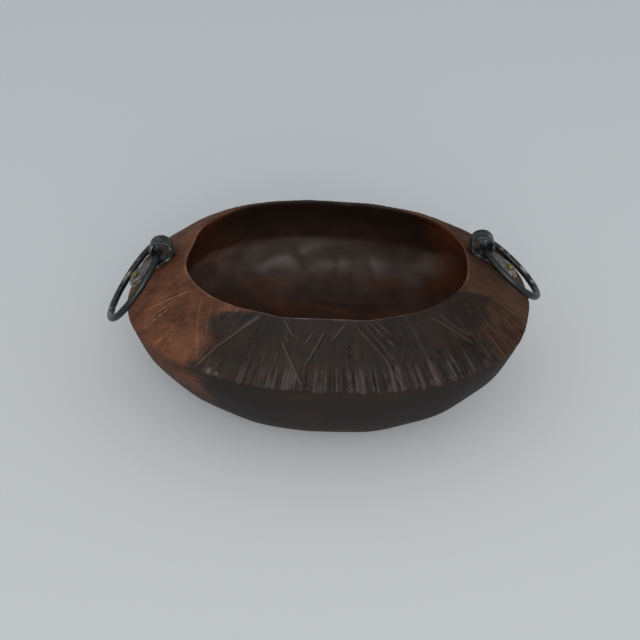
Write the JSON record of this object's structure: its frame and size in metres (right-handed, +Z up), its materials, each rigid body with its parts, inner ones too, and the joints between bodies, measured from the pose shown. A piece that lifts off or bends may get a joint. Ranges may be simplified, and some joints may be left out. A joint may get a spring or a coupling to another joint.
{
  "type": "carved wooden dish",
  "caption": "Oval carved wooden dish with a drawn-in rim and a keeled side, and a loose wire ring handle in a nailed iron clip at each end.",
  "frame": {"origin": "middle of the flat foot, on the surface the dish stands on", "axes": "+X along the dish towards its right-hand ring, +Y away from the carved front, +Z up"},
  "size_m": [0.2207, 0.1472, 0.0867],
  "materials": {
    "carved_wood": "hand-carved and handled dark, dull on the carved band and half gloss in the hollow",
    "strap_iron": "grey sheet iron, handled and lightly tarnished",
    "ring_iron": "blackened wire, worn grey on its outer side",
    "nail_brass": "dull brass"
  },
  "bodies": {
    "dish": {"bowl": "carved_wood", "clip_left": "strap_iron", "clip_right": "strap_iron", "nail_left": "nail_brass", "nail_right": "nail_brass"},
    "left_handle": {"ring_left": "ring_iron"},
    "right_handle": {"ring_right": "ring_iron"}
  },
  "joints": [
    {"name": "left_ring_hinge", "type": "hinge", "parent": "dish", "child": "left_handle", "pos_m": [-0.08506, -0.00142, 0.07578], "axis": [-0.0808, 0.9932, -0.0836], "range_deg": [0, 216]},
    {"name": "right_ring_hinge", "type": "hinge", "parent": "dish", "child": "right_handle", "pos_m": [0.07612, 0.01207, 0.07884], "axis": [0.1359, -0.9776, 0.1605], "range_deg": [0, 208]}
  ]
}
